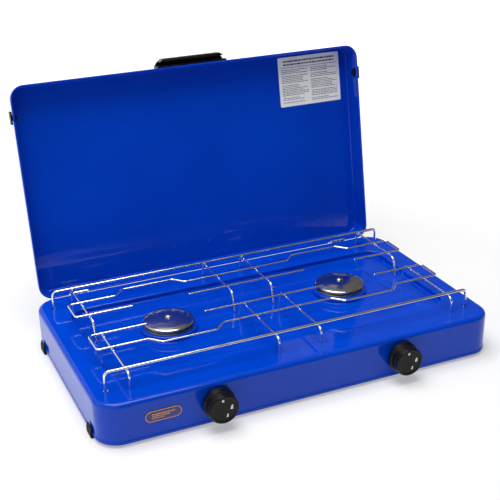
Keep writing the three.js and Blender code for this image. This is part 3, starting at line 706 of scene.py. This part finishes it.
def controls():
    for side, sx in SIDES:
        x = sx * BURNER_X
        face = KNOB_BACK - KNOB_L + 0.02
        bore = 3.3
        spindle_tip = KNOB_BACK - KNOB_L * 0.6
        bore_end = spindle_tip - 0.3
        knob = [
            (0, face + 0.75), (KNOB_R - 4.4, face + 0.75), (KNOB_R - 3.9, face + 0.55),
            (KNOB_R - 3.5, face + 0.12), (KNOB_R - 3.1, face), (KNOB_R - 1.4, face),
            (KNOB_R - 0.5, face + 0.4), (KNOB_R, face + 1.4), (KNOB_R, face + 4.4), (KNOB_R - 0.9, face + 5.0),
            (KNOB_R - 0.9, face + 6.2), (KNOB_R, face + 6.8),
            (KNOB_R, KNOB_BACK - 6.5), (SKIRT_R, KNOB_BACK - 4.5), (SKIRT_R, KNOB_BACK),
            (SKIRT_R - 3, KNOB_BACK), (SKIRT_R - 3.5, KNOB_BACK - 3), (bore + 3.5, KNOB_BACK - 3),
            (bore + 3, KNOB_BACK), (bore, KNOB_BACK), (bore, bore_end), (0, bore_end),
        ]
        knob = moved(turned(softened(knob, 0.35), 96, "Y"), x, 0, KNOB_Z)
        body = f"control_{side}"
        place(f"control_knob_{side}", knob, BLACK, body, "black_plastic", f"knob_{side}", sharp=60)
        marks = [circle(-1.7, 12.7, 1.7, 24), teardrop(9.6, 0.8, 3.5, 0.5), teardrop(3.8, -9.6, 2.7, 0.5)]
        parts = [along_y(prism([(x + a, KNOB_Z + b) for a, b in m], face + 0.62, face + 0.8)) for m in marks]
        place(f"knob_marks_{side}", joined(*parts), MARK, body, "black_plastic")

        spindle = [
            (0, spindle_tip), (3, spindle_tip), (3, SPINDLE_RING), (5, SPINDLE_RING), (5, SPINDLE_RING + 5),
            (3, SPINDLE_RING + 5), (3, TAP_FRONT + 17.5), (0, TAP_FRONT + 17.5),
        ]
        spindle = moved(turned(softened(spindle, 0.3), 32, "Y"), x, 0, KNOB_Z)
        place(f"tap_spindle_{side}", spindle, BRASS, body, "brass", f"spindle_{side}")


def wires():
    """Both pan supports, wire by wire, with the spot welds between them."""
    for which, s in (("rear", 1), ("front", -1)):
        body = f"support_{which}"
        rail_y = RAIL_Y[which]

        def y(d):
            return BURNER_Y + s * d

        def wire_piece(name, stands_for, points, radius, bend, *fineness):
            part = wire(points, radius, bend, *fineness)
            place(name, part, CHROME, body, "chromed_wire", stands_for, sharp=80)

        end = CASE_TOP - 9
        rail = [(-RAIL_HALF, rail_y, end), (-RAIL_HALF, rail_y, RAIL_Z)]
        rail += [(-a, b, c) for a, b, c in reversed(rail)]
        wire_piece(f"rail_{which}", f"{which}_rail", rail, RAIL_R, 6, 24, 12)

        run = []
        for _, b in SIDES:
            for dx, d in ((-51.5, 0), (-37.5, 15), (37.5, 15), (51.5, 0)):
                run.append((b * BURNER_X + dx, y(WIRE_FAR + d), WIRE_Z))
        tip = BURNER_X + 40
        long = [
            (-tip, y(WIRE_NEAR), WIRE_Z), (-LOOP_X, y(WIRE_NEAR), WIRE_Z), (-LOOP_X, y(WIRE_FAR), WIRE_Z),
            *run,
            (LOOP_X, y(WIRE_FAR), WIRE_Z), (LOOP_X, y(WIRE_NEAR), WIRE_Z), (tip, y(WIRE_NEAR), WIRE_Z),
        ]
        wire_piece(f"long_wire_{which}", f"{which}_long_wire", long, WIRE_R, 5, 20, 10)

        inner = BURNER_X - 42
        centre = [(-inner, y(WIRE_NEAR), WIRE_Z), (inner, y(WIRE_NEAR), WIRE_Z)]
        wire_piece(f"centre_wire_{which}", f"{which}_centre_wire", centre, WIRE_R, 1)

        knee, foot = 16, 8
        lean = (knee - foot) / (CROSS_Z - FLOOR_Z)
        outer = rail_y + s * 8.5
        met = (
            (rail_y, RAIL_Z - RAIL_R), (y(WIRE_FAR), WIRE_Z - WIRE_R), (y(WIRE_NEAR), WIRE_Z - WIRE_R),
        )
        welds = []
        for i, x in enumerate(CROSS_X):
            cross = [
                (x, outer, CASE_TOP + 0.3), (x, outer, CROSS_Z), (x, y(knee), CROSS_Z),
                (x, y(foot), FLOOR_Z + 0.3 + WIRE_R * lean),
            ]
            wire_piece(f"cross_wire_{which}_{i + 1}", f"{which}_cross_{i + 1}", cross, WIRE_R, 7, 20, 10)
            for wy, top in met:
                blob = turned([(0, -0.85), (0.9, -0.7), (1.45, 0), (0.9, 0.7), (0, 0.85)], 16)
                welds.append(moved(blob, x, wy, (top + CROSS_Z + WIRE_R) / 2))
        place(f"welds_{which}", joined(*welds), CHROME, body, "chromed_wire", sharp=80)


# ------------------------------------------------------------------ lid
def lid_shell():
    s = Sheet()
    rim = [
        (2.9, LID_RIM + 4.6), (2.5, LID_RIM + 1.0), (2.2, LID_RIM + 0.35), (1.6, LID_RIM), (0.7, LID_RIM),
        (0.15, LID_RIM + 0.35), (0.0, LID_RIM + 0.9), (LID_LEAN * 1.2, LID_RIM + 2.2),
        (LID_DRAFT - LID_LEAN * 1.2, LID_RIM + 25.8),
    ]
    fold = arc(LID_DRAFT + LID_FOLD, LID_RIM + LID_H - LID_FOLD, LID_FOLD, 180, 90, 8)
    _, edge = s.rings(LID, [*rim, *fold, (8, LID_RIM + LID_H)])
    s.fill(edge, [])
    cuts = []
    for _, sx in SIDES:
        hinge, wall = sx * HINGE_X, sx * LID["hx"]
        cuts.append(block(hinge - HINGE_NOTCH, hinge + HINGE_NOTCH, LID_BACK - 5.5, LID_BACK + 4,
                          LID_RIM - 2, LID_RIM + 5))
        cuts.append(block(wall - 8, wall + 8, CLIP_Y - 4.3, CLIP_Y + 4.3, LID_RIM + 4.2, LID_RIM + 8.8))
    place("lid_pan", (s.verts, s.faces), BLUE, "lid", "blue_enamel", "lid_shell", lid=True, sheet=SHEET,
          cuts=joined(*cuts))


def snap_pads():
    wall = LID["hx"]
    z = LID_RIM + 6.5
    inner = wall - LID_LEAN * 11.5 - SHEET - 0.6
    for side, sx in SIDES:
        pad = block(wall + 0.3, wall + 2.9, CLIP_Y - 9, CLIP_Y + 9, z - 5, z + 5)
        stem = block(inner - 1, wall + 1, CLIP_Y - 4, CLIP_Y + 4, z - 2, z + 2)
        wedge = [(inner, CLIP_Y - 6.5), (inner, CLIP_Y + 6.5), (inner - 4.5, CLIP_Y)]
        nub = moved(prism(wedge, 0, 7), 0, 0, z - 3.5)
        verts, faces = joined(pad, stem, nub)
        if sx < 0:
            verts = [(-a, b, c) for a, b, c in verts]
        place(f"snap_pad_{side}", (verts, faces), BLACK, "lid", "black_plastic", f"lid_clip_{side}",
              lid=True, bevel=0.4)


def grip():
    """A C-shaped bar on the lid's front wall, narrower at its outer face."""
    base, top, out, lo, hi = 108, 88, 12, 4, 22
    back_low = LID_FRONT - 0.3 + LID_LEAN * lo - 0.1
    back_high = LID_FRONT - 0.4 + LID_LEAN * hi
    front = LID_FRONT - out
    section = [
        (front, LID_RIM + lo + 2), (front + 2, LID_RIM + lo), (front + 4.5, LID_RIM + lo),
        (front + 4.5, LID_RIM + hi - 3.5), (back_low - 2.5, LID_RIM + hi - 3.5),
        (back_low - 2.5, LID_RIM + lo), (back_low, LID_RIM + lo),
        (back_high, LID_RIM + hi), (front + 2.5, LID_RIM + hi),
        (front, LID_RIM + hi - 2.5),
    ]
    n = len(section)
    taper_from = LID_FRONT - out * 0.35
    reach = [base / 2 - max(0, (taper_from - y)) / (out * 0.65) * (base - top) / 2 for y, _ in section]
    verts = [(sx * r, y, z) for sx in (-1, 1) for r, (y, z) in zip(reach, section)]
    faces = [(i, (i + 1) % n, n + (i + 1) % n, n + i) for i in range(n)]
    faces += [tuple(range(n)), tuple(range(n, 2 * n))]
    place("grip", (verts, faces), BLACK, "lid", "black_plastic", "lid_handle", lid=True, bevel=0.8)


def label():
    """A paper label with rows of plain bars in the place of print."""
    x0, x1, far, near = 147, 252, LID_BACK - 296, LID_BACK - 221
    top = LID_RIM + LID_H - SHEET - 0.3
    under = top - 0.5
    mid = (x0 + x1) / 2
    shape = {"hx": (x1 - x0) / 2, "hy": (near - far) / 2, "cy": (far + near) / 2, "r": 2}
    outline = [(a + mid, b) for a, b in plan_ring(shape, 0, 5)]
    sheet = prism(outline, under, top)
    place("label_sheet", sheet, PAPER, "lid", "label", "label_plate", lid=True, bevel=0.1)
    draw = random.Random(7)
    parts = []

    def bar(a, b, near_y, far_y):
        parts.append(block(a, b, near_y, far_y, under - 0.04, under + 0.02))

    def bars(a, b, y, height, longest, gap):
        x = a
        while x < b:
            w = min(b, x + draw.uniform(0.35, 1) * longest)
            if w - x > 0.6:
                bar(x, w, y - height / 2, y + height / 2)
            x = w + gap

    for y, h in ((far + 6.5, 2.5), (far + 11.4, 2.1)):
        bars(x0 + 9, x1 - 8, y, h, 7, 1.1)
    bar(x0 + 5, x1 - 5, far + 15.6, far + 16.2)
    for a, b in ((x0 + 5, mid - 2.5), (mid + 2.5, x1 - 5)):
        y = far + 19.5
        while y < near - 5:
            bars(a, b - draw.choice((0, 0, 0, 8, 16)), y, 0.9, 6, 0.9)
            y += draw.choice((2.5, 2.5, 2.5, 4.2))
    place("label_bars", joined(*parts), INK, "lid", "label", lid=True)


case_shell()
feet()
badge()
burners()
controls()
wires()
lid_shell()
snap_pads()
grip()
label()

# ------------------------------------------------------------------ hinges and gas line, as the CAD made them
for name, obj in frame["nodes"].items():
    if obj.hide_render:
        continue
    slot_name = next(p["material_slot"] for p in frame["record"]["subparts"] if p["node"] == name)
    obj.data.materials.clear()
    obj.data.materials.append(CHROME if name.startswith("hinge_") else SLOT_MATERIAL[slot_name])
    weld = obj.modifiers.new("weld", "WELD")
    weld.merge_threshold = 1e-6
    edges = obj.modifiers.new("edges", "BEVEL")
    edges.width = 0.00015
    edges.segments = 2
    edges.limit_method = "ANGLE"
    edges.angle_limit = math.radians(40)
    normals = obj.modifiers.new("normals", "WEIGHTED_NORMAL")
    normals.keep_sharp = True
    for p in obj.data.polygons:
        p.use_smooth = True


# ------------------------------------------------------------------ studio
def studio():
    scene = bpy.context.scene
    scene.view_settings.view_transform = "Standard"
    mesh = bpy.data.meshes.new("floor")
    half = 30
    corners = [(-half, -half, 0), (half, -half, 0), (half, half, 0), (-half, half, 0)]
    mesh.from_pydata(corners, [], [(0, 1, 2, 3)])
    m, t, s = new_material("floor")
    s.inputs["Base Color"].default_value = (0.62, 0.62, 0.62, 1)
    s.inputs["Roughness"].default_value = 0.9
    s.inputs["Specular IOR Level"].default_value = 0.1
    # the floor glows white, dimmer within half a metre of the middle and full from two metres out: painted
    # shade round the stove, which its glossy walls reflect
    s.inputs["Emission Color"].default_value = (1, 1, 1, 1)
    painted_floor_glow = node(t, "ShaderNodeMapRange")
    spot = node(t, "ShaderNodeTexCoord")
    away = node(t, "ShaderNodeVectorMath", operation="LENGTH")
    t.links.new(spot.outputs["Object"], away.inputs[0])
    t.links.new(away.outputs["Value"], painted_floor_glow.inputs["Value"])
    painted_floor_glow.inputs["From Min"].default_value = 0.5
    painted_floor_glow.inputs["From Max"].default_value = 2.0
    painted_floor_glow.inputs["To Min"].default_value = 0.36
    painted_floor_glow.inputs["To Max"].default_value = 1.0
    t.links.new(painted_floor_glow.outputs["Result"], s.inputs["Emission Strength"])
    mesh.materials.append(m)
    floor = bpy.data.objects.new("floor", mesh)
    scene.collection.objects.link(floor)

    world = bpy.data.worlds.new("studio")
    scene.world = world
    world.use_nodes = True
    wt = world.node_tree
    background = wt.nodes["Background"]
    where = node(wt, "ShaderNodeTexCoord")
    parts = node(wt, "ShaderNodeSeparateXYZ")
    wt.links.new(where.outputs["Generated"], parts.inputs["Vector"])
    # a grey room, lit from the left
    spread = node(wt, "ShaderNodeMapRange")
    wt.links.new(parts.outputs["X"], spread.inputs["Value"])
    spread.inputs["From Min"].default_value = 1
    spread.inputs["From Max"].default_value = -1
    shade = ramp(wt, spread.outputs["Result"], [
        (0.20, (0.13, 0.127, 0.12)), (0.36, (0.20, 0.196, 0.185)),
        (0.52, (0.75, 0.75, 0.75)), (0.8, (0.45, 0.45, 0.45)),
    ])
    wt.links.new(shade, background.inputs["Color"])
    background.inputs["Strength"].default_value = 1.0

    def softbox(name, at, to, size, power):
        data = bpy.data.lights.new(name, "AREA")
        data.shape = "RECTANGLE"
        data.size, data.size_y = size
        data.energy = power
        lamp = bpy.data.objects.new(name, data)
        lamp.location = at
        lamp.rotation_mode = "QUATERNION"
        lamp.rotation_quaternion = (Vector(to) - Vector(at)).to_track_quat("-Z", "Y")
        scene.collection.objects.link(lamp)

    softbox("softbox_top", (-0.25, -0.05, 1.9), (0, 0, 0), (1.6, 1.3), 33)
    softbox("softbox_left", (-1.9, 0.5, 1.1), (0, 0, 0.1), (1.0, 1.0), 3)

    # a dark cloth before the stove, seen only in its gloss
    mesh = bpy.data.meshes.new("flag")
    corners = [(-0.5, -0.95, 0), (2.2, -0.75, 0), (2.2, -0.75, 1.1), (-0.5, -0.95, 1.1)]
    mesh.from_pydata(corners, [], [(0, 1, 2, 3)])
    m, t, s = new_material("dark_cloth")
    s.inputs["Base Color"].default_value = (0.03, 0.03, 0.03, 1)
    s.inputs["Roughness"].default_value = 0.9
    mesh.materials.append(m)
    flag = bpy.data.objects.new("flag", mesh)
    flag.visible_camera = False
    flag.visible_shadow = False
    scene.collection.objects.link(flag)


studio()
